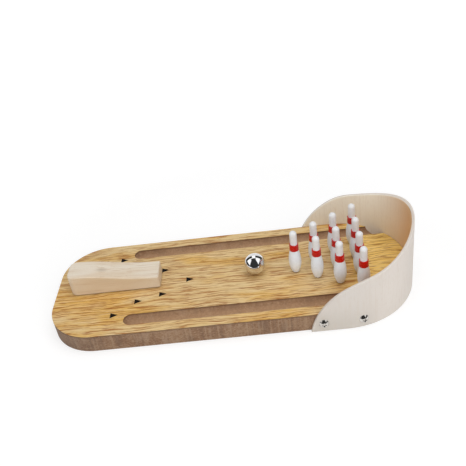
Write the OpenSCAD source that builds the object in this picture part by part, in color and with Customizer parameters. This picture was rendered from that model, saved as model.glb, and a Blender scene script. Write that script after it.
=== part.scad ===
// Tabletop bowling game: a lane board with two gutters and a bent plywood backstop, ten turned pins,
// a steel ball and a loose wooden ramp. Millimetres, +Z up. The origin is on the table under the middle
// of the whole, and +X runs down the lane from the player's end to the pins.

/* [Board] */
// Length of the board, from the player's end to the round end
board_length = 280; // [250:1:320]
// Width of the board, which is also the diameter of its round end
board_width = 110; // [104:1:130]
// Thickness of the fibreboard core
core_thickness = 14.4; // [12:0.1:18]
// Thickness of the oak sheet glued on top
veneer_thickness = 0.6; // [0.4:0.1:1.5]
// Radius of the two corners at the player's end
front_corner_radius = 37; // [20:1:50]

/* [Gutters] */
// Width of a gutter, the diameter of its round-nosed cutter
gutter_width = 11.8; // [9:0.1:12.4]
// Depth of a gutter below the lane
gutter_depth = 6.4; // [6.2:0.1:7.5]
// Strip of board left outside a gutter
gutter_edge = 9; // [8:0.1:13]
// Where the gutters start, from the player's end
gutter_start = 59; // [45:0.5:80]

/* [Backstop] */
// Thickness of the bent plywood
stop_thickness = 2.4; // [1.6:0.1:4]
// Height of the backstop behind the pins
stop_height = 60.5; // [54:0.5:70]
// How far the sides reach forward from the board's round end
stop_reach = 82; // [72:0.5:95]
// Height of the shoulder where the rounded nose turns into the hollow sweep
shoulder_height = 43; // [36:0.5:46]
// How far the shoulder is from the board's round end
shoulder_reach = 38; // [32:0.5:44]
// Slope of the rim at the shoulder, in degrees
shoulder_slope = 10; // [5:0.5:15]
// Glue between the board and the plywood
glue_line = 0.1; // [0.05:0.05:0.3]

/* [Screws] */
// Diameter of a domed screw head
screw_head_d = 7.4; // [5:0.1:8]
// Height of a screw head
screw_head_height = 2.2; // [1.5:0.1:3]
// Diameter of a screw's shank
screw_shank_d = 3; // [2:0.1:4]
// Length of a screw under its head
screw_length = 12; // [8:0.5:13]
// Length of a screw's point
screw_point = 3; // [2:0.5:5]
// Room round a shank
screw_clearance = 0.1; // [0.05:0.05:0.3]
// Height of the screws above the table
screw_height = 7.4; // [6:0.1:8]
// How far the front screw is behind the foot of the nose
screw_setback = 9.5; // [7:0.5:14]
// How far round the bend the second screw is, in degrees
screw_turn = 11.5; // [8:0.5:40]
// Length of the slots of the cross recess
recess_length = 3.6; // [2.5:0.1:4.5]
// Width of the slots of the cross recess
recess_width = 0.9; // [0.6:0.1:1.2]
// Depth of the cross recess
recess_depth = 1.2; // [0.6:0.1:1.4]

/* [Pins] */
// Height of a pin
pin_height = 38; // [34:0.5:44]
// Diameter of a pin's foot
pin_foot_d = 6.2; // [5:0.1:7.2]
// Rounding of the foot's edge
pin_foot_round = 1.6; // [0.4:0.1:2]
// Diameter of a pin's belly
pin_belly_d = 9.7; // [8.6:0.1:11]
// Height of the belly's widest place
pin_belly_height = 10; // [8:0.1:14]
// Diameter of a pin's neck, at the lower edge of the red band
pin_neck_d = 7.2; // [6.6:0.1:8]
// Height of the red band's lower edge
pin_band_height = 21; // [17:0.1:24]
// Width of the red band
pin_band_width = 5.2; // [3:0.1:6]
// Diameter of the red band's upper edge
pin_band_d = 6.9; // [6.5:0.1:7.6]
// Diameter of the head just above the band
pin_head_d = 5.5; // [5:0.1:6.2]
// Diameter of the head's round top
pin_crown_d = 5.6; // [5.2:0.1:6.4]
// Distance between neighbouring pins
pin_pitch = 18.6; // [16:0.1:19.5]
// How far the head pin is from the board's round end
head_pin_setback = 87.5; // [78:0.5:95]
// How far the triangle of pins is off the middle of the lane, to the left as the player sees it
pin_offset = -3; // [-4:0.1:4]

/* [Ball] */
// Diameter of the ball
ball_d = 17; // [14:0.5:19]
// How far the ball is in front of the head pin
ball_lead = 31.5; // [20:0.5:50]
// Room under the ball so that it rolls free
ball_clearance = 0.1; // [0.05:0.05:0.3]

/* [Ramp] */
// Length of the ramp
ramp_length = 72; // [60:0.5:85]
// Width of the ramp
ramp_width = 21; // [16:0.5:28]
// Height of the ramp's high end
ramp_high = 18.5; // [14:0.5:22]
// Height of the ramp's low end
ramp_low = 11; // [6:0.5:13]
// Radius of the two corners at the high end
ramp_corner_radius = 5.5; // [4:0.5:8]
// How far the ramp is from the player's end
ramp_inset = 13; // [8:0.5:25]
// How far the ramp is off the middle of the lane, to the left as the player sees it
ramp_offset = 3.9; // [-8:0.1:8]

/* [Hidden] */
$fn = 96;

// How far a cutter runs past the face that it cuts
overcut = 2;
// Which way each side lies from the middle of the lane, as the player sees it
left = 1;
right = -1;
// Share of an S-shaped fall that its rounded top takes
pin_crown_share = 0.8;
ramp_crown_share = 0.5;

lane_top = core_thickness + veneer_thickness;
stop_inner = board_width / 2 + glue_line;
stop_outer = stop_inner + stop_thickness;
stop_back_x = (board_length + glue_line + stop_thickness) / 2;
board_front_x = -stop_back_x;
board_back_x = board_front_x + board_length;
bend_x = board_back_x - board_width / 2;

// Gutters
gutter_radius = gutter_width / 2;
gutter_y = board_width / 2 - gutter_edge - gutter_radius;
gutter_x = board_front_x + gutter_start + gutter_radius;
gutter_axis_z = lane_top - gutter_depth + gutter_radius;

// Rim of the backstop: two arcs that meet at the shoulder, one from the foot of the nose, one to the back
nose_foot = [board_back_x - stop_reach, 0];
shoulder = [board_back_x - shoulder_reach, shoulder_height];
stop_top = [stop_back_x, stop_height];
rim_normal = [-sin(shoulder_slope), cos(shoulder_slope)];
to_foot = nose_foot - shoulder;
to_top = stop_top - shoulder;
nose_radius = -(to_foot * to_foot) / (2 * (to_foot * rim_normal));
sweep_radius = (to_top * to_top) / (2 * (to_top * rim_normal));

// Pins, by radius and height
foot_r = pin_foot_d / 2;
belly_r = pin_belly_d / 2;
neck_r = pin_neck_d / 2;
crown_r = pin_crown_d / 2;
band_top = pin_band_height + pin_band_width;
lower_rise = pin_belly_height - pin_foot_round;
lower_swell = belly_r - foot_r;
lower_radius = (lower_rise * lower_rise + lower_swell * lower_swell) / (2 * lower_swell);
head_pin_x = board_back_x - head_pin_setback;
row_spacing = pin_pitch * sqrt(3) / 2;

// The dome of a screw head is part of a ball
dome_radius = (screw_head_d * screw_head_d / 4 + screw_head_height * screw_head_height)
              / (2 * screw_head_height);

// The area under an S-shaped fall: level at both ends, it drops to height "low" over a length
module under_s_fall(length, drop, low, crown_share) {
    radius_sum = (length * length + drop * drop) / (2 * drop);
    crown_radius = crown_share * radius_sum;
    hollow_radius = radius_sum - crown_radius;
    turn = crown_share * length;
    intersection() {
        translate([0, low + drop - crown_radius]) circle(crown_radius);
        square([turn, low + drop]);
    }
    difference() {
        translate([turn, 0]) square([length - turn, low + drop * (1 - crown_share)]);
        translate([length, low + hollow_radius]) circle(hollow_radius);
    }
}

// Plan of the board: round corners at the player's end, a half circle at the pins
module board_plan() {
    corner_x = board_front_x + front_corner_radius;
    corner_y = board_width / 2 - front_corner_radius;
    translate([bend_x, 0]) circle(board_width / 2);
    translate([corner_x, -board_width / 2]) square([bend_x - corner_x, board_width]);
    translate([board_front_x, -corner_y]) square([front_corner_radius, 2 * corner_y]);
    for (side = [left, right])
        translate([corner_x, side * corner_y]) circle(front_corner_radius);
}

// Path of the round-nosed cutter that mills a gutter out through the round end
module gutter_cut(side) {
    run = board_back_x + overcut - gutter_x;
    translate([gutter_x, side * gutter_y, gutter_axis_z]) {
        sphere(gutter_radius);
        rotate([0, 90, 0]) cylinder(r = gutter_radius, h = run);
        linear_extrude(gutter_depth + overcut) {
            circle(gutter_radius);
            translate([0, -gutter_radius]) square([run, gutter_width]);
        }
    }
}

// Puts a screw, or the hole for one, on the straight side just behind the nose
module at_front_screw(side) {
    translate([nose_foot.x + screw_setback, side * stop_outer, screw_height])
        rotate([-90 * side, 0, 0]) children();
}

// Puts a screw, or the hole for one, square to the bend
module at_bend_screw(side) {
    translate([bend_x, 0, screw_height])
        rotate([0, 0, side * (90 - screw_turn)])
        translate([stop_outer, 0, 0])
        rotate([0, 90, 0]) children();
}

// Hole for a shank, from outside the plywood down past the point
module screw_hole() {
    translate([0, 0, -screw_length - screw_clearance])
        cylinder(d = screw_shank_d + 2 * screw_clearance, h = screw_length + screw_clearance + overcut);
}

module screw_holes() {
    for (side = [left, right]) {
        at_front_screw(side) screw_hole();
        at_bend_screw(side) screw_hole();
    }
}

// Fibreboard core with both gutters and the holes for the screws
module lane_board() {
    color("peru") difference() {
        linear_extrude(core_thickness) board_plan();
        for (side = [left, right]) gutter_cut(side);
        screw_holes();
    }
}

// Oak sheet on the core, open over the gutters
module lane_veneer() {
    color("burlywood") difference() {
        translate([0, 0, core_thickness]) linear_extrude(veneer_thickness) board_plan();
        for (side = [left, right]) gutter_cut(side);
    }
}

// Plan of the plywood wall: two straight sides and a half circle, out to a radius
module wall_plan(radius, front_x) {
    translate([bend_x, 0]) circle(radius);
    translate([front_x, -radius]) square([bend_x - front_x, 2 * radius]);
}

// Side view of the backstop, below its rim
module stop_side() {
    intersection() {
        translate(shoulder - nose_radius * rim_normal) circle(nose_radius);
        translate(nose_foot) square(-to_foot);
    }
    difference() {
        translate([shoulder.x, 0]) square([to_top.x, stop_height]);
        translate(shoulder + sweep_radius * rim_normal) circle(sweep_radius);
    }
}

// Bent plywood backstop, cut to its rim and drilled for the screws
module backstop() {
    color("antiquewhite") difference() {
        intersection() {
            linear_extrude(stop_height) difference() {
                wall_plan(stop_outer, nose_foot.x);
                wall_plan(stop_inner, nose_foot.x - overcut);
            }
            rotate([90, 0, 0]) linear_extrude(2 * stop_outer + overcut, center = true) stop_side();
        }
        screw_holes();
    }
}

// Domed screw with a cross recess, its head's underside at zero and its point downwards
module screw() {
    color("silver") {
        difference() {
            intersection() {
                translate([0, 0, screw_head_height - dome_radius]) sphere(dome_radius);
                cylinder(d = screw_head_d, h = screw_head_height);
            }
            for (turn = [0, 90])
                rotate([0, 0, turn])
                translate([-recess_length / 2, -recess_width / 2, screw_head_height - recess_depth])
                cube([recess_length, recess_width, recess_depth + overcut]);
        }
        translate([0, 0, screw_point - screw_length])
            cylinder(d = screw_shank_d, h = screw_length - screw_point);
        translate([0, 0, -screw_length])
            cylinder(d1 = 0, d2 = screw_shank_d, h = screw_point);
    }
}

module front_screw_right() { at_front_screw(right) screw(); }
module bend_screw_right() { at_bend_screw(right) screw(); }
module front_screw_left() { at_front_screw(left) screw(); }
module bend_screw_left() { at_bend_screw(left) screw(); }

// Half section of a pin: foot, lower body, shoulder, band and head
module pin_section() {
    square([foot_r - pin_foot_round, pin_foot_round]);
    intersection() {
        translate([foot_r - pin_foot_round, pin_foot_round]) circle(pin_foot_round);
        square([foot_r, pin_foot_round]);
    }
    intersection() {
        translate([belly_r - lower_radius, pin_belly_height]) circle(lower_radius);
        translate([0, pin_foot_round]) square([belly_r, lower_rise]);
    }
    translate([0, pin_belly_height]) mirror([1, -1, 0])
        under_s_fall(pin_band_height - pin_belly_height, belly_r - neck_r, neck_r, pin_crown_share);
    polygon([[0, pin_band_height], [neck_r, pin_band_height], [pin_band_d / 2, band_top], [0, band_top]]);
    polygon([[0, band_top], [pin_head_d / 2, band_top], [crown_r, pin_height - crown_r],
             [0, pin_height - crown_r]]);
    intersection() {
        translate([0, pin_height - crown_r]) circle(crown_r);
        translate([0, pin_height - crown_r]) square(crown_r);
    }
}

// Turned pin on its place in the triangle: rows count away from the player, places from the left
module pin(row, place) {
    color("white")
        translate([head_pin_x + row * row_spacing, pin_offset + (row / 2 - place) * pin_pitch, lane_top])
        rotate_extrude() pin_section();
}

module pin_1() { pin(0, 0); }
module pin_2() { pin(1, 0); }
module pin_3() { pin(1, 1); }
module pin_4() { pin(2, 0); }
module pin_5() { pin(2, 1); }
module pin_6() { pin(2, 2); }
module pin_7() { pin(3, 0); }
module pin_8() { pin(3, 1); }
module pin_9() { pin(3, 2); }
module pin_10() { pin(3, 3); }

// Steel ball on the middle of the lane
module ball() {
    color("lightsteelblue")
        translate([head_pin_x - ball_lead, 0, lane_top + ball_clearance + ball_d / 2])
        sphere(d = ball_d);
}

// Plan of the ramp, with its high end's corners rounded
module ramp_plan() {
    corner_y = ramp_width / 2 - ramp_corner_radius;
    translate([ramp_corner_radius, -ramp_width / 2])
        square([ramp_length - ramp_corner_radius, ramp_width]);
    translate([0, -corner_y]) square([ramp_corner_radius, 2 * corner_y]);
    for (side = [left, right])
        translate([ramp_corner_radius, side * corner_y]) circle(ramp_corner_radius);
}

// Loose wooden ramp, whose top falls in an S from its high end towards the pins
module ramp() {
    color("wheat")
        translate([board_front_x + ramp_inset, ramp_offset, lane_top])
        intersection() {
            linear_extrude(ramp_high) ramp_plan();
            rotate([90, 0, 0]) linear_extrude(ramp_width + overcut, center = true)
                under_s_fall(ramp_length, ramp_high - ramp_low, ramp_low, ramp_crown_share);
        }
}

lane_board();
lane_veneer();
backstop();
front_screw_right();
bend_screw_right();
front_screw_left();
bend_screw_left();
pin_1();
pin_2();
pin_3();
pin_4();
pin_5();
pin_6();
pin_7();
pin_8();
pin_9();
pin_10();
ball();
ramp();
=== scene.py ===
"""Looks of the tabletop bowling game: materials, softened edges, lane arrows, studio and camera."""

import math

import bmesh
import bpy
from mathutils import Matrix, Vector


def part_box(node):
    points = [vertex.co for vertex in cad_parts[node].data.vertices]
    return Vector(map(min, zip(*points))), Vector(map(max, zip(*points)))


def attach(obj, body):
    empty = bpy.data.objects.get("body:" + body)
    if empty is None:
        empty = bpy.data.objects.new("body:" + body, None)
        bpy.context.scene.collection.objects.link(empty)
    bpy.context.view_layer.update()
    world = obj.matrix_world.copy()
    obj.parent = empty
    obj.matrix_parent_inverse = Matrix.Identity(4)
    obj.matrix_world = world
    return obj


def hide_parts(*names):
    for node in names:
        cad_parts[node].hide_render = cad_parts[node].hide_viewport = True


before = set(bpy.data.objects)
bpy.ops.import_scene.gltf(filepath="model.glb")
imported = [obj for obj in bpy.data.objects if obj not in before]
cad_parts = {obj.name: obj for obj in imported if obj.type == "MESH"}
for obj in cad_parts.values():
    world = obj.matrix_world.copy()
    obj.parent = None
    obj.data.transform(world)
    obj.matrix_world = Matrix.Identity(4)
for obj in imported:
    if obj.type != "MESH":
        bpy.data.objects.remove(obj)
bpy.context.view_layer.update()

# One millimetre in the scene's metres
MM = 0.001

# Places that the frame gives
board_low, board_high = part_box("lane_board")
lane_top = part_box("lane_veneer")[1].z
stop_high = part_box("backstop")[1]
ramp_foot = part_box("ramp")[0].z

# Backstop: the glue line round the board, its inner and outer radius, and where its bend starts
GLUE_LINE = 0.1 * MM
STOP_INNER = board_high.y + GLUE_LINE
STOP_OUTER = stop_high.y
BEND_X = stop_high.x - stop_high.y

# The camera, worked out from the photograph: where it is, how it turns, looks down and leans, and its lens
CAMERA_PLACE = Vector((0.03819, -0.40542, 0.34181))
CAMERA_TURN = math.radians(-4.47)
CAMERA_DROP = math.radians(35.17)
CAMERA_LEAN = math.radians(-8.76)
FOCAL_PIXELS = 656.89
PICTURE_PIXELS = 466
SENSOR_MM = 36.0
NEAREST_SEEN = 10 * MM

# Lane arrows: each row's place along the lane and to either side, in millimetres, and the size of one arrow
ARROW_ROWS = ((-33.0, 0.0), (-53.8, 14.8), (-72.8, 20.5), (-90.1, 34.0))
ARROW_LENGTH = 6.0 * MM
ARROW_WIDTH = 5.6 * MM
INK_THICKNESS = 0.03 * MM

# Edges: how much is sanded off and how round, which points are one, and what counts as an edge or as flat
BOARD_ROUND = 0.5 * MM
VENEER_ROUND = 0.25 * MM
STOP_ROUND = 0.6 * MM
RAMP_ROUND = 1.3 * MM
ROUND_PROFILE = 0.5
WELD_DISTANCE = 0.001 * MM
EDGE_ANGLE = math.radians(35)
FLAT_ANGLE = math.radians(0.2)

# Edges of the board this near to its underside are sanded
UNDERSIDE_BAND = 2.2 * MM

# How strongly large faces lead when shading is evened out, from 1 to 100
FACE_WEIGHT = 100

# Most values of a pattern lie in the first range, and smudges show in the second
SPREAD = (0.3, 0.7)
SMUDGED = (0.35, 0.7)


def srgb(red, green, blue):
    """A colour given as on a screen, 0 to 255, as the linear colour that shaders take."""
    linear = []
    for part in (red, green, blue):
        share = part / 255
        linear.append(share / 12.92 if share <= 0.04045 else ((share + 0.055) / 1.055) ** 2.4)
    return (*linear, 1.0)


def grey(level):
    """A linear grey, from 0, black, to 1, white."""
    return (level, level, level, 1.0)


class Nodes:
    """A node tree. Methods other than feed and add make a node and return its output."""

    def __init__(self, tree):
        self.tree = tree

    def feed(self, socket, value):
        """Links an output to a socket, or gives the socket a plain value."""
        if isinstance(value, bpy.types.NodeSocket):
            self.tree.links.new(value, socket)
        else:
            socket.default_value = value

    def add(self, kind, inputs=None, **settings):
        """Makes a node, sets it up, feeds its inputs and returns it."""
        made = self.tree.nodes.new(kind)
        for key, value in settings.items():
            setattr(made, key, value)
        for key, value in (inputs or {}).items():
            self.feed(made.inputs[key], value)
        return made

    def scaled(self, vector, scale):
        """A vector times another, part by part."""
        return self.add("ShaderNodeVectorMath", {0: vector, 1: scale}, operation="MULTIPLY").outputs[0]

    def moved(self, vector, offset):
        """A vector with an offset added."""
        return self.add("ShaderNodeVectorMath", {0: vector, 1: offset}, operation="ADD").outputs[0]

    def length(self, vector):
        """The length of a vector."""
        return self.add("ShaderNodeVectorMath", {0: vector}, operation="LENGTH").outputs["Value"]

    def sideways(self, amount):
        """A vector of that length along y."""
        return self.add("ShaderNodeCombineXYZ", {"Y": amount}).outputs[0]

    def parts(self, vector):
        """The x, y and z of a vector."""
        return self.add("ShaderNodeSeparateXYZ", {0: vector}).outputs

    def math(self, operation, first, second=0.0, third=0.0):
        """One calculation on as many of the three values as it takes."""
        return self.add("ShaderNodeMath", {0: first, 1: second, 2: third}, operation=operation).outputs[0]

    def times(self, first, second):
        """Two values multiplied."""
        return self.math("MULTIPLY", first, second)

    def between(self, value, low, high, out_low=0.0, out_high=1.0):
        """A smooth step from out_low, where the value is at low, to out_high, where it is at high.

        Pairs such as OAK_FRONT_X hold a low and a high.
        """
        inputs = {"Value": value, "From Min": low, "From Max": high, "To Min": out_low, "To Max": out_high}
        return self.add("ShaderNodeMapRange", inputs, interpolation_type="SMOOTHSTEP").outputs["Result"]

    def mix(self, share, first, second):
        """The first colour with a share of the second."""
        made = self.add("ShaderNodeMix", data_type="RGBA", blend_type="MIX")
        self.feed(made.inputs[0], share)
        self.feed(made.inputs[6], first)
        self.feed(made.inputs[7], second)
        return made.outputs[2]


class Recipe(Nodes):
    """One material's nodes, with places in millimetres and shades as on a screen."""

    def __init__(self, name):
        self.material = bpy.data.materials.new(name)
        self.material.use_nodes = True
        super().__init__(self.material.node_tree)
        self.shader = self.tree.nodes["Principled BSDF"]
        self.place = self.scaled(self.add("ShaderNodeTexCoord").outputs["Object"], (1 / MM,) * 3)

    def pattern(self, waves, detail=3.0, roughness=0.5, distortion=0.0, place=None):
        """Noise with that many waves per millimetre along x, y and z."""
        vector = self.scaled(self.place if place is None else place, waves)
        inputs = {"Vector": vector, "Scale": 1.0, "Detail": detail,
                  "Roughness": roughness, "Distortion": distortion}
        return self.add("ShaderNodeTexNoise", inputs).outputs["Fac"]

    def facing_up(self):
        """How much a face looks up, from -1 to 1."""
        return self.parts(self.add("ShaderNodeNewGeometry").outputs["Normal"])[2]

    def two_tone(self, value, low, high, first, second):
        """The first shade where the value is at low, turning into the second where it is at high."""
        return self.mix(self.between(value, low, high), srgb(*first), srgb(*second))

    def tint(self, colour, shade, value, low, high, share=1.0):
        """A colour with a shade mixed in: none where the value is at low, that share where it is at high."""
        return self.mix(self.between(value, low, high, out_high=share), colour, srgb(*shade))

    def finish(self, colour, roughness, height=None, depth=0.0, **constants):
        """Feeds the shader: colour, roughness, bump of that depth in millimetres, and plain settings."""
        self.feed(self.shader.inputs["Base Color"], colour)
        self.feed(self.shader.inputs["Roughness"], roughness)
        for key, value in constants.items():
            self.shader.inputs[key.replace("_", " ")].default_value = value
        if height is not None:
            bump = self.add("ShaderNodeBump", {"Height": height, "Distance": depth * MM, "Strength": 1.0})
            self.feed(self.shader.inputs["Normal"], bump.outputs["Normal"])
        return self.material


# Colours of the oak print
OAK_STRAW = (225, 196, 143)
OAK_HONEY = (222, 178, 98)
OAK_PLANK = (206, 162, 96)
OAK_PIT_BOUNCE_LIGHT = (255, 221, 127)
OAK_PALE = (238, 213, 166)
OAK_STREAK = (166, 106, 51)
OAK_PORE = (154, 88, 39)
OAK_DARK_EDGE = (104, 74, 48)

# How far the oak's grain bends and ripples sideways, in millimetres
OAK_BEND = 9.0
OAK_RIPPLE = 1.8

# Where the oak turns warm, in millimetres: the player's end, its near side, the back pins, behind them
OAK_FRONT_X = (-60.0, -100.0)
OAK_FRONT_Y = (10.0, -10.0)
OAK_PINS_X = (80.0, 105.0)
OAK_PIT_X = (85.0, 115.0)

# How warm the oak turns there: the front partly painted shade, the back pins and pit painted bounce light
OAK_FRONT_TONE_AND_SHADE = 0.16
OAK_PINS_BOUNCE_SHARE = 0.2
OAK_PIT_BOUNCE_SHARE = 0.85

# How strong the oak's streaks and pores are, and how much the streaks fade under the painted bounce light
# behind the pins
OAK_STREAK_SHARE = 0.84
OAK_STREAK_FADE = 0.3
OAK_PORE_SHARE = 0.75

# How deep below the lane's top its edge starts turning darker and is fully darker, in millimetres
OAK_DARK_EDGE_DEPTH = (0.15, 0.4)

# How rough the oak print is, how deep its grain lies in millimetres, and how much it shines
OAK_ROUGHNESS = (0.46, 0.60)
OAK_RELIEF = 0.03
OAK_SHINE = 0.25


def oak():
    """Printed oak grain on the lane: golden, with thin wavy brown streaks, and darker on its edges.

    It is warmer at the player's end on the near side, partly as painted shade, and from the back pins on as
    painted bounce light.
    """
    make = Recipe("oak_grain")
    along, aside, up = make.parts(make.place)
    bend = make.pattern((0.022, 0.035, 0.035), detail=1.0)
    ripple = make.pattern((0.10, 0.16, 0.16), detail=1.0)
    shift = make.math("ADD", make.times(bend, OAK_BEND), make.times(ripple, OAK_RIPPLE))
    wavy = make.moved(make.place, make.sideways(shift))
    wood = make.pattern((0.018, 0.06, 0.06), detail=2.0, place=wavy)
    plank = make.pattern((0.02, 0.26, 0.26), roughness=0.6, place=wavy)
    streak = make.pattern((0.038, 0.95, 0.95), roughness=0.6, place=wavy)
    dash = make.pattern((0.07, 1.2, 1.2), detail=2.0, place=wavy)
    # The front's warmth is partly the print's own tone, partly painted shade on the lane in front of the
    # ramp
    front_tone_and_shade = make.times(make.between(along, *OAK_FRONT_X, out_high=OAK_FRONT_TONE_AND_SHADE),
                       make.between(aside, *OAK_FRONT_Y))
    # Painted warm bounce light: warmer among the back pins, and golden behind them
    pins_bounce_light = make.between(along, *OAK_PINS_X, out_high=OAK_PINS_BOUNCE_SHARE)
    pit_bounce_light = make.between(along, *OAK_PIT_X, out_high=OAK_PIT_BOUNCE_SHARE)
    tone_and_painted_light = make.math("ADD", wood, make.math("ADD", front_tone_and_shade, pins_bounce_light))
    colour = make.two_tone(tone_and_painted_light, 0.47, 0.72, OAK_STRAW, OAK_HONEY)
    colour = make.tint(colour, OAK_PLANK, plank, 0.45, 0.62, share=0.35)
    colour = make.mix(pit_bounce_light, colour, srgb(*OAK_PIT_BOUNCE_LIGHT))
    colour = make.tint(colour, OAK_PALE, streak, 0.48, 0.38, share=0.5)
    dark = make.between(streak, 0.53, 0.62)
    strength = make.math("MULTIPLY_ADD", pit_bounce_light, -OAK_STREAK_FADE, make.math("ADD", front_tone_and_shade, OAK_STREAK_SHARE))
    colour = make.mix(make.times(dark, strength), colour, srgb(*OAK_STREAK))
    pores = make.between(dash, 0.57, 0.63)
    colour = make.mix(make.times(pores, OAK_PORE_SHARE), colour, srgb(*OAK_PORE))
    # Darker on the edge just below the lane's top
    dark_edge = (lane_top / MM - depth for depth in OAK_DARK_EDGE_DEPTH)
    colour = make.tint(colour, OAK_DARK_EDGE, up, *dark_edge, share=0.8)
    height = make.math("SUBTRACT", 1.0, make.math("MAXIMUM", dark, pores))
    rough = make.between(streak, *SPREAD, *OAK_ROUGHNESS)
    return make.finish(colour, rough, height, OAK_RELIEF, Specular_IOR_Level=OAK_SHINE)


# Colours of the cut fibreboard
BOARD_BROWN = (138, 104, 78)
BOARD_TAN = (155, 123, 95)
BOARD_SPECK = (121, 88, 61)
BOARD_FIBRE = (182, 153, 123)
BOARD_STAIN = (110, 88, 73)
BOARD_FADED = (182, 158, 134)
BOARD_SAW_DARK = (106, 84, 72)
BOARD_SAW_PALE = (182, 155, 127)
BOARD_GREY = (104, 93, 86)
BOARD_MILLED_AND_LIT = (204, 163, 124)
BOARD_SHADOW_LINE = (104, 78, 58)

# Where the fibreboard turns grey towards the player's end, and where the gutters are, in millimetres
BOARD_GREY_X = (-85.0, -130.0)
GUTTERS_X = (-95.0, -88.0)
GUTTERS_Y = (52.0, 48.0)

# Milled gutters are paler, and their up-facing bottoms paler still as painted light: how much faces look up,
# how pale
GUTTER_LIT_FACING = (0.5, 0.9)
MILLED_AND_LIT_SHARE = (0.28, 0.5)

# How deep below the top sheet the painted shadow line starts and is full, in millimetres
SHADOW_LINE_DEPTH = (1.6, 0.5)

# How rough the fibreboard is, and how deep its specks are in millimetres
BOARD_ROUGHNESS = (0.72, 0.9)
BOARD_RELIEF = 0.05


def fibreboard():
    """Cut fibreboard: brown, with fine fibres, specks, stains and upright saw marks.

    It is paler in the milled gutters with painted light on their bottoms, greyer at the player's end, and
    has a painted shadow line under the top sheet.
    """
    make = Recipe("fibreboard_cut")
    along, aside, up = make.parts(make.place)
    cloud = make.pattern((0.06, 0.06, 0.10), detail=4.0, roughness=0.6)
    speck = make.pattern((0.9, 0.9, 1.3), roughness=0.7)
    fibre = make.pattern((0.45, 0.45, 2.6), detail=2.0)
    stain = make.pattern((0.10, 0.10, 0.03), detail=4.0, roughness=0.65)
    saw = make.pattern((0.5, 0.5, 0.015), roughness=0.6)
    colour = make.two_tone(cloud, 0.40, 0.60, BOARD_BROWN, BOARD_TAN)
    colour = make.tint(colour, BOARD_SPECK, speck, 0.47, 0.60, share=0.55)
    colour = make.tint(colour, BOARD_FIBRE, fibre, 0.52, 0.62, share=0.5)
    colour = make.tint(colour, BOARD_STAIN, stain, 0.52, 0.66, share=0.45)
    colour = make.tint(colour, BOARD_FADED, stain, 0.46, 0.34, share=0.3)
    colour = make.tint(colour, BOARD_SAW_DARK, saw, 0.54, 0.68, share=0.35)
    colour = make.tint(colour, BOARD_SAW_PALE, saw, 0.46, 0.33, share=0.35)
    colour = make.tint(colour, BOARD_GREY, along, *BOARD_GREY_X, share=0.35)
    in_gutter = make.between(make.math("ABSOLUTE", aside), *GUTTERS_Y)
    milled = make.times(in_gutter, make.between(along, *GUTTERS_X))
    # Painted light: gutter bottoms that face up turn paler than the walls
    milled_and_lit = make.times(milled, make.between(make.facing_up(), *GUTTER_LIT_FACING, *MILLED_AND_LIT_SHARE))
    colour = make.mix(milled_and_lit, colour, srgb(*BOARD_MILLED_AND_LIT))
    # Painted shadow line: a thin dark band just under the top sheet
    shadow_line = (board_high.z / MM - depth for depth in SHADOW_LINE_DEPTH)
    colour = make.tint(colour, BOARD_SHADOW_LINE, up, *shadow_line, share=0.55)
    rough = make.between(speck, *SPREAD, *BOARD_ROUGHNESS)
    return make.finish(colour, rough, speck, BOARD_RELIEF)


# Colours of the plywood
PLY_PALE = (222, 214, 206)
PLY_CREAM = (219, 210, 201)
PLY_BEND_LIT = (232, 223, 214)
PLY_FOOT = (207, 199, 188)
PLY_INSIDE_LIT = (255, 250, 233)
PLY_INSIDE_WARM_SHADE = (226, 174, 112)
PLY_GRAIN = (212, 194, 172)
PLY_FLECK = (206, 188, 168)
PLY_CORE = (204, 182, 154)

# Places in millimetres: painted light round the bend, darker at the foot, painted light and shade inside
PLY_LIT_BEND_X = (85.0, 125.0)
PLY_FOOT_X = (115.0, 75.0)
PLY_FOOT_Z = (28.0, 4.0)
PLY_INSIDE_SHADE_Y = (48.0, -2.0)

# Shares of the thickness, from the inside, where the inner face ends and the middle ply starts and ends
PLY_INNER_FACE = (0.12, 0.02)
PLY_CORE_START = (0.30, 0.36)
PLY_CORE_END = (0.70, 0.64)

# How strong the foot, the inner face's painted light and shade and the middle ply show
PLY_FOOT_SHARE = 0.8
PLY_INSIDE_SHADE_SHARE = 0.85
PLY_CORE_SHARE = 0.2

# How rough the plywood is, and how deep its grain lies in millimetres
PLY_ROUGHNESS = (0.58, 0.72)
PLY_RELIEF = 0.02


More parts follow.
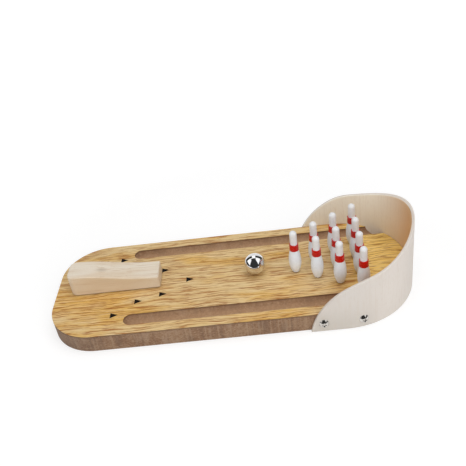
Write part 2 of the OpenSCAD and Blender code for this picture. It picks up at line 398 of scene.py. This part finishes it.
def plywood():
    """Pale bent plywood: faint upright grain on its faces, and three plies along its cut edges.

    It is lighter round its bend as painted light, a little darker at its foot, and has painted light and
    warm shade inside.
    """
    make = Recipe("plywood_birch")
    x, y, z = make.parts(make.place)
    past_bend = make.math("MAXIMUM", make.math("SUBTRACT", x, BEND_X / MM), 0.0)
    squares = make.math("ADD", make.math("POWER", past_bend, 2.0), make.math("POWER", y, 2.0))
    across = make.between(make.math("SQRT", squares), STOP_INNER / MM, STOP_OUTER / MM)
    grain = make.pattern((0.75, 0.75, 0.03), roughness=0.6)
    broad = make.pattern((0.08, 0.08, 0.02))
    fleck = make.pattern((0.9, 0.9, 0.25), detail=2.0)
    colour = make.two_tone(broad, 0.40, 0.60, PLY_PALE, PLY_CREAM)
    # Painted light: the plywood turns lighter round its bend
    colour = make.tint(colour, PLY_BEND_LIT, x, *PLY_LIT_BEND_X)
    foot = make.times(make.between(z, *PLY_FOOT_Z, out_high=PLY_FOOT_SHARE), make.between(x, *PLY_FOOT_X))
    colour = make.mix(foot, colour, srgb(*PLY_FOOT))
    # Painted light and shade inside: bright on the far wall, warm and dark towards the near wall, as bounce
    # light from the lane
    inside_light_and_shade = make.two_tone(y, *PLY_INSIDE_SHADE_Y, PLY_INSIDE_LIT, PLY_INSIDE_WARM_SHADE)
    colour = make.mix(make.between(across, *PLY_INNER_FACE, out_high=PLY_INSIDE_SHADE_SHARE), colour, inside_light_and_shade)
    colour = make.tint(colour, PLY_GRAIN, grain, 0.50, 0.66, share=0.12)
    colour = make.tint(colour, PLY_FLECK, fleck, 0.56, 0.66, share=0.10)
    core = make.times(make.between(across, *PLY_CORE_START), make.between(across, *PLY_CORE_END))
    colour = make.mix(make.times(core, PLY_CORE_SHARE), colour, srgb(*PLY_CORE))
    rough = make.between(grain, *SPREAD, *PLY_ROUGHNESS)
    return make.finish(colour, rough, grain, PLY_RELIEF)


# Colours of the pins; the whites are painted light: cooled against the lane's warm bounce, and neutral on
# the head
PIN_COOLED_WHITE = (238, 245, 252)
PIN_COOLED_DULL_WHITE = (233, 240, 247)
PIN_HEAD_NEUTRAL = (233, 233, 233)
PIN_RED = (203, 9, 4)
PIN_DEEP_RED = (184, 7, 3)
PIN_CONTACT_SHADE = (88, 58, 34)

# Red band, in millimetres above the lane: where it is, and how far its edges wander up and down
BAND_LOW = 21.0
BAND_HIGH = 26.2
BAND_WOBBLE = 0.12

# Soft edges below and above the band, the head's neutral white and the painted contact shadow at the foot,
# by the same heights
BAND_LOW_EDGE = (BAND_LOW - 0.1, BAND_LOW + 0.1)
BAND_HIGH_EDGE = (BAND_HIGH + 0.25, BAND_HIGH + 0.1)
PIN_HEAD_NEUTRAL_Z = (BAND_HIGH - 2.0, BAND_HIGH + 4.0)
PIN_CONTACT_SHADE_Z = (1.2, 0.2)

# How rough the paint is, how uneven in millimetres, and its clear coat
PIN_ROUGHNESS = (0.24, 0.34)
PIN_RELIEF = 0.04
PIN_COAT = 0.15
PIN_COAT_ROUGHNESS = 0.1


def pin_paint():
    """Gloss white paint with a red band on turned wood, not quite even, with a painted contact shadow at the
    foot.
    """
    make = Recipe("pin_gloss")
    uneven = make.pattern((0.5, 0.5, 0.25), detail=2.0)
    smudge = make.pattern((0.18, 0.18, 0.18))
    height = make.math("SUBTRACT", make.parts(make.place)[2], lane_top / MM)
    level = make.math("ADD", height, make.between(uneven, *SPREAD, -BAND_WOBBLE, BAND_WOBBLE))
    band = make.times(make.between(level, *BAND_LOW_EDGE), make.between(level, *BAND_HIGH_EDGE))
    # Painted light: the white is cooled against the lane's warm bounce light and turns neutral on the head
    white = make.two_tone(smudge, *SMUDGED, PIN_COOLED_WHITE, PIN_COOLED_DULL_WHITE)
    white = make.tint(white, PIN_HEAD_NEUTRAL, level, *PIN_HEAD_NEUTRAL_Z, share=0.9)
    red = make.two_tone(smudge, *SMUDGED, PIN_RED, PIN_DEEP_RED)
    colour = make.mix(band, white, red)
    # Painted contact shadow: a thin dark line round the pin's foot
    colour = make.tint(colour, PIN_CONTACT_SHADE, level, *PIN_CONTACT_SHADE_Z, share=0.85)
    rough = make.between(smudge, *SPREAD, *PIN_ROUGHNESS)
    return make.finish(colour, rough, uneven, PIN_RELIEF,
                       Coat_Weight=PIN_COAT, Coat_Roughness=PIN_COAT_ROUGHNESS)


# The metals: linear colours, and how rough each is where it is clean and where it was handled
BALL_STEEL = (0.85, 0.85, 0.86)
BALL_ROUGHNESS = (0.015, 0.05)
SCREW_NICKEL = (0.64, 0.61, 0.57)
SCREW_ROUGHNESS = (0.16, 0.24)

# How bright handled metal is beside clean metal, and how deep its scratches are in millimetres
HANDLED_SHARE = 0.94
SCRATCH_RELIEF = 0.002


def polished(name, metal, roughness):
    """Polished metal with faint handling marks."""
    make = Recipe(name)
    smudge = make.pattern((0.35, 0.35, 0.35), detail=4.0, roughness=0.65)
    scratch = make.pattern((0.4, 6.0, 6.0), detail=2.0)
    handled = (HANDLED_SHARE * part for part in metal)
    colour = make.mix(make.between(smudge, *SMUDGED), (*metal, 1.0), (*handled, 1.0))
    rough = make.between(smudge, *SMUDGED, *roughness)
    return make.finish(colour, rough, scratch, SCRATCH_RELIEF, Metallic=1.0)


# Colours of the ramp's wood
BEECH_PALE = (233, 221, 203)
BEECH_WARM = (224, 205, 180)
BEECH_GRAIN = (205, 175, 140)
BEECH_RAY = (196, 164, 128)
BEECH_KNOT = (150, 126, 100)
BEECH_SIDE_SHADE = (200, 170, 122)
BEECH_CONTACT_SHADE = (108, 68, 34)

# Knot in the ramp's top, in millimetres: its place, its stretch, the grain it pushes aside, its dark core
KNOT_PLACE = Vector((-101.6, 3.0, 31.4))
KNOT_STRETCH = (0.55, 1.0, 0.5)
KNOT_REACH = (7.0, 0.5)
KNOT_PUSH = 2.6
KNOT_CORE = (3.6, 0.4)

# How little a face looks up to take the sides' painted shade, and how high the painted contact shadow
# reaches, in millimetres
BEECH_SIDE_SHADE_FACING = (0.7, 0.3)
BEECH_CONTACT_SHADE_Z = (1.3, 0.4)

# How rough the ramp's wood is, and how deep its grain lies in millimetres
BEECH_ROUGHNESS = (0.5, 0.64)
BEECH_RELIEF = 0.03


def beech():
    """Pale sanded wood of the ramp: faint lengthwise grain, one small knot, painted warm shade on the sides
    and a painted contact shadow at the foot.
    """
    make = Recipe("beech_sanded")
    ring = make.length(make.scaled(make.moved(make.place, -KNOT_PLACE), KNOT_STRETCH))
    push = make.times(make.between(ring, *KNOT_REACH), KNOT_PUSH)
    bent = make.moved(make.place, make.sideways(push))
    grain = make.pattern((0.03, 0.62, 0.62), detail=4.0, roughness=0.55, distortion=0.4, place=bent)
    ray = make.pattern((0.35, 3.0, 3.0), detail=2.0, place=bent)
    broad = make.pattern((0.02, 0.09, 0.09), detail=2.0)
    colour = make.two_tone(broad, 0.35, 0.65, BEECH_PALE, BEECH_WARM)
    colour = make.tint(colour, BEECH_GRAIN, grain, 0.5, 0.72, share=0.6)
    colour = make.tint(colour, BEECH_RAY, ray, 0.58, 0.75, share=0.3)
    colour = make.tint(colour, BEECH_KNOT, ring, *KNOT_CORE, share=0.36)
    # Painted shade: faces that do not look up turn warmer and darker, as bounce light from the lane
    facing = make.math("ABSOLUTE", make.facing_up())
    colour = make.tint(colour, BEECH_SIDE_SHADE, facing, *BEECH_SIDE_SHADE_FACING, share=0.3)
    # Painted contact shadow: a thin dark line round the ramp's foot
    height = make.math("SUBTRACT", make.parts(make.place)[2], ramp_foot / MM)
    colour = make.tint(colour, BEECH_CONTACT_SHADE, height, *BEECH_CONTACT_SHADE_Z, share=0.75)
    rough = make.between(grain, *SPREAD, *BEECH_ROUGHNESS)
    return make.finish(colour, rough, grain, BEECH_RELIEF)


# Colours of the print
INK_BLACK = (22, 17, 14)
INK_WORN = (86, 60, 36)

# How rough the print is, how uneven in millimetres, and how much it shines
INK_ROUGHNESS = (0.55, 0.75)
INK_RELIEF = 0.01
INK_SHINE = 0.1


def ink():
    """Black print on the lane, a little worn where the grain lifts it."""
    make = Recipe("arrow_ink")
    wear = make.pattern((0.4, 2.4, 1.0), detail=4.0, roughness=0.7)
    colour = make.tint(srgb(*INK_BLACK), INK_WORN, wear, 0.62, 0.8, share=0.5)
    rough = make.between(wear, *SPREAD, *INK_ROUGHNESS)
    return make.finish(colour, rough, wear, INK_RELIEF, Specular_IOR_Level=INK_SHINE)


def dress(piece, material):
    """Gives a piece one material."""
    piece.data.materials.clear()
    piece.data.materials.append(material)


def softened(name, material, body, round_off, steps, chosen):
    """Makes a copy of a solid with its chosen edges sanded round, which stands for it."""
    work = bmesh.new()
    work.from_mesh(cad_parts[name].data)
    bmesh.ops.remove_doubles(work, verts=work.verts, dist=WELD_DISTANCE)
    bmesh.ops.dissolve_limit(work, angle_limit=FLAT_ANGLE, verts=work.verts, edges=work.edges)
    edges = [edge for edge in work.edges if edge.calc_face_angle(0.0) > EDGE_ANGLE and chosen(edge)]
    bmesh.ops.bevel(work, geom=edges, offset=round_off, offset_type="OFFSET", segments=steps,
                    profile=ROUND_PROFILE, affect="EDGES", clamp_overlap=False)
    mesh = bpy.data.meshes.new(name + "_sanded")
    # The solid's stored normals no longer fit its rounded edges
    for layer in list(work.loops.layers.float_vector.values()):
        work.loops.layers.float_vector.remove(layer)
    work.to_mesh(mesh)
    work.free()
    if "custom_normal" in mesh.attributes:
        mesh.attributes.remove(mesh.attributes["custom_normal"])
    mesh.shade_smooth()
    mesh.set_sharp_from_angle(angle=EDGE_ANGLE)
    piece = bpy.data.objects.new(name + "_sanded", mesh)
    bpy.context.scene.collection.objects.link(piece)
    even = piece.modifiers.new("even_shading", "WEIGHTED_NORMAL")
    even.keep_sharp = True
    even.weight = FACE_WEIGHT
    dress(piece, material)
    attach(piece, body)
    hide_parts(name)


def arrow(number, along, aside, material):
    """Prints one arrow on the lane, pointing at the pins."""
    work = bmesh.new()
    half = ARROW_WIDTH / 2
    outline = ((-ARROW_LENGTH / 2, -half), (ARROW_LENGTH / 2, 0.0), (-ARROW_LENGTH / 2, half))
    face = work.faces.new([work.verts.new((x, y, 0.0)) for x, y in outline])
    raised = bmesh.ops.extrude_face_region(work, geom=[face])["geom"]
    top = [part for part in raised if isinstance(part, bmesh.types.BMVert)]
    bmesh.ops.translate(work, verts=top, vec=(0.0, 0.0, INK_THICKNESS))
    bmesh.ops.translate(work, verts=work.verts, vec=(along, aside, lane_top))
    bmesh.ops.recalc_face_normals(work, faces=work.faces)
    mesh = bpy.data.meshes.new(f"lane_arrow_{number}")
    work.to_mesh(mesh)
    work.free()
    piece = bpy.data.objects.new(f"lane_arrow_{number}", mesh)
    bpy.context.scene.collection.objects.link(piece)
    dress(piece, material)
    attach(piece, "board")


def lane_arrows():
    """Prints the single arrow nearest the pins and a pair for each row behind it."""
    material = ink()
    number = 0
    for along, aside in ARROW_ROWS:
        for side in ((1,) if aside == 0 else (1, -1)):
            number += 1
            arrow(number, along * MM, side * aside * MM, material)


def every_edge(edge):
    """Chooses any edge."""
    return True


def underside_edge(edge):
    """Chooses the edges round the board's underside."""
    return all(vert.co.z < board_low.z + UNDERSIDE_BAND for vert in edge.verts)


def lane_edge(edge):
    """Chooses the edges round the lane's top."""
    return all(vert.co.z > lane_top - VENEER_ROUND for vert in edge.verts)


def make_object():
    """Finishes on every solid, softened edges where hands and sandpaper reach, and the arrows."""
    paint = pin_paint()
    nickel = polished("screw_nickel", SCREW_NICKEL, SCREW_ROUGHNESS)
    steel = polished("ball_steel", BALL_STEEL, BALL_ROUGHNESS)
    for name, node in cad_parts.items():
        if name.startswith("pin_"):
            dress(node, paint)
        elif "screw" in name:
            dress(node, nickel)
    dress(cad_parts["ball"], steel)
    softened("lane_board", fibreboard(), "board", BOARD_ROUND, steps=3, chosen=underside_edge)
    softened("lane_veneer", oak(), "board", VENEER_ROUND, steps=2, chosen=lane_edge)
    softened("backstop", plywood(), "board", STOP_ROUND, steps=3, chosen=every_edge)
    softened("ramp", beech(), "ramp", RAMP_ROUND, steps=4, chosen=every_edge)
    lane_arrows()


def make_camera():
    """The photograph's view."""
    ahead = Vector((math.sin(CAMERA_TURN) * math.cos(CAMERA_DROP),
                    math.cos(CAMERA_TURN) * math.cos(CAMERA_DROP),
                    -math.sin(CAMERA_DROP)))
    level = Vector((math.cos(CAMERA_TURN), -math.sin(CAMERA_TURN), 0.0))
    upright = level.cross(ahead)
    right = math.cos(CAMERA_LEAN) * level + math.sin(CAMERA_LEAN) * upright
    up = math.cos(CAMERA_LEAN) * upright - math.sin(CAMERA_LEAN) * level
    lens = bpy.data.cameras.new("photo_camera")
    lens.sensor_width = SENSOR_MM
    lens.lens = SENSOR_MM * FOCAL_PIXELS / PICTURE_PIXELS
    lens.clip_start = NEAREST_SEEN
    camera = bpy.data.objects.new("photo_camera", lens)
    bpy.context.scene.collection.objects.link(camera)
    turn = Matrix((right, up, -ahead)).transposed().to_4x4()
    camera.matrix_world = Matrix.Translation(CAMERA_PLACE) @ turn
    bpy.context.scene.camera = camera


# Soft lights: name, place, width and height in metres, and how bright each is beside white
SOFTBOXES = (
    ("softbox_above", (0.15, 0.08, 1.05), 0.8, 0.8, 1.9),
    ("softbox_left", (-0.75, -0.35, 0.65), 0.8, 0.8, 1.0),
    ("softbox_right", (0.62, -0.66, 0.70), 0.7, 0.7, 1.7),
    ("softbox_front", (0.10, -1.00, 0.30), 0.8, 0.5, 1.9),
)


def softbox(name, place, width, height, brightness):
    """A soft light that faces the middle of the lane and shows in no picture or reflection."""
    lamp = bpy.data.lights.new(name, "AREA")
    lamp.shape = "RECTANGLE"
    lamp.size = width
    lamp.size_y = height
    # A flat panel gives off pi times its brightness from each square metre
    lamp.energy = brightness * math.pi * width * height
    light = bpy.data.objects.new(name, lamp)
    bpy.context.scene.collection.objects.link(light)
    light.location = place
    light.rotation_euler = (-Vector(place)).to_track_quat("-Z", "Y").to_euler()
    light.visible_camera = False
    light.visible_glossy = False


def seen_rays(make):
    """Two switches: one is 1 for what the camera sees, the other for what mirrors and glass show."""
    path = make.add("ShaderNodeLightPath").outputs
    mirrored = make.math("MAXIMUM", path["Is Glossy Ray"], path["Is Transmission Ray"])
    return path["Is Camera Ray"], mirrored


# How bright the studio's dark places are in mirrors, as a share of white
STUDIO_DARK = 0.03

# Floor: a disc just below the object, how pale it is for light and for the eye, and its roughness
FLOOR_RADIUS = 6.0
FLOOR_SIDES = 64
FLOOR_DROP = 0.02 * MM
FLOOR_LIT = 0.82
FLOOR_SEEN = 0.40
FLOOR_ROUGHNESS = 0.9

# The floor's own glow near the object and far off, and those distances in millimetres
FLOOR_GLOW = (0.66, 1.0)
FLOOR_GLOW_REACH = (180.0, 420.0)

# Where the floor ends for mirrors, in millimetres: in front of the lane, between sides that spread forwards
FLOOR_END_Y = (-135.0, -165.0)
FLOOR_END_SIDE = (40.0, -20.0)
FLOOR_END_SPREAD = 0.6


def make_floor():
    """A pale floor that reads as white, keeps a soft shadow and lights the object from below.

    For mirrors alone it ends dark in front of the lane, as a photographer's table does.
    """
    work = bmesh.new()
    bmesh.ops.create_circle(work, cap_ends=True, segments=FLOOR_SIDES, radius=FLOOR_RADIUS)
    mesh = bpy.data.meshes.new("floor")
    work.to_mesh(mesh)
    work.free()
    floor = bpy.data.objects.new("floor", mesh)
    bpy.context.scene.collection.objects.link(floor)
    floor.location.z = -FLOOR_DROP
    make = Recipe("floor_white")
    x, y = make.parts(make.place)[:2]
    camera, mirrored = seen_rays(make)
    seen = make.math("MAXIMUM", camera, mirrored)
    beside = make.math("MULTIPLY_ADD", y, FLOOR_END_SPREAD, make.math("ABSOLUTE", x))
    ended = make.times(make.between(y, *FLOOR_END_Y), make.between(beside, *FLOOR_END_SIDE))
    ended = make.times(ended, mirrored)
    colour = make.mix(seen, grey(FLOOR_LIT), grey(FLOOR_SEEN))
    colour = make.mix(ended, colour, grey(STUDIO_DARK))
    make.finish(colour, FLOOR_ROUGHNESS)
    away = make.length(make.scaled(make.place, (1.0, 1.0, 0.0)))
    glow = make.times(seen, make.between(away, *FLOOR_GLOW_REACH, *FLOOR_GLOW))
    glow = make.times(glow, make.math("SUBTRACT", 1.0, ended))
    make.feed(make.shader.inputs["Emission Color"], grey(1.0))
    make.feed(make.shader.inputs["Emission Strength"], glow)
    dress(floor, make.material)


# Light that reaches the object evenly from all round, as a share of white
FILL_LEVEL = 0.34

# Brightness of the white panels and of the sweep behind the lane in mirrors, and where the sweep starts
PANEL_LEVEL = 1.2
SWEEP_LEVEL = 0.85
SWEEP_START = (0.69, 0.75)

# Dark opening towards the camera, by the direction looked in: its middle, reach, narrowing and back edge
OPENING_MIDDLE = -0.06
OPENING_REACH = (0.77, 0.71)
OPENING_NARROWS = 0.48
OPENING_BACK = (0.22, 0.14)

# Low dark wall round the front: its height from left to right, its rise at both ends, and its back edge
WALL_ACROSS = (-0.2, 0.95)
WALL_HEIGHT = (0.10, 0.30)
WALL_ENDS = (0.6, 0.95)
WALL_ENDS_RISE = 0.30
WALL_EDGE = (0.03, -0.03)
WALL_BACK = (0.35, 0.25)

# Dark gap between the panels and the sweep: its front, back and inner edge
GAP_FRONT = (0.27, 0.33)
GAP_BACK = (0.75, 0.69)
GAP_INNER = (0.18, 0.26)


def make_world():
    """An even fill for the light, white for the camera, and a photo studio for mirrors.

    The studio is white at the sides and overhead, and a little darker behind. It is dark through an
    opening towards the camera, along a low wall round the front, and along the gap between the side
    panels and the sweep behind the lane.
    """
    world = bpy.data.worlds.new("studio")
    bpy.context.scene.world = world
    world.use_nodes = True
    make = Nodes(world.node_tree)
    backdrop = make.tree.nodes["Background"]
    x, y, z = make.parts(make.add("ShaderNodeTexCoord").outputs["Generated"])
    aside = make.math("ABSOLUTE", make.math("SUBTRACT", x, OPENING_MIDDLE))
    rise = make.times(make.times(z, z), OPENING_NARROWS)
    reach = make.math("SQRT", make.math("MULTIPLY_ADD", aside, aside, rise))
    opening = make.times(make.between(reach, *OPENING_REACH), make.between(y, *OPENING_BACK))
    wall_top = make.math("ADD", make.between(x, *WALL_ACROSS, *WALL_HEIGHT),
                         make.between(aside, *WALL_ENDS, out_high=WALL_ENDS_RISE))
    over_wall = make.math("SUBTRACT", z, wall_top)
    wall = make.times(make.between(over_wall, *WALL_EDGE), make.between(y, *WALL_BACK))
    gap = make.times(make.between(y, *GAP_FRONT), make.between(y, *GAP_BACK))
    gap = make.times(gap, make.between(aside, *GAP_INNER))
    dark = make.math("MAXIMUM", make.math("MAXIMUM", opening, wall), gap)
    white = make.between(y, *SWEEP_START, PANEL_LEVEL, SWEEP_LEVEL)
    studio = make.times(white, make.between(dark, 0.0, 1.0, 1.0, STUDIO_DARK))
    camera, mirrored = seen_rays(make)
    plain = make.between(camera, 0.0, 1.0, FILL_LEVEL, 1.0)
    shown = make.times(mirrored, make.math("SUBTRACT", studio, plain))
    make.feed(backdrop.inputs["Color"], grey(1.0))
    make.feed(backdrop.inputs["Strength"], make.math("ADD", plain, shown))


def make_studio():
    """Floor, backdrop, soft lights and plain colour handling."""
    make_floor()
    make_world()
    for box in SOFTBOXES:
        softbox(*box)
    bpy.context.scene.view_settings.view_transform = "Standard"


make_camera()
make_object()
make_studio()
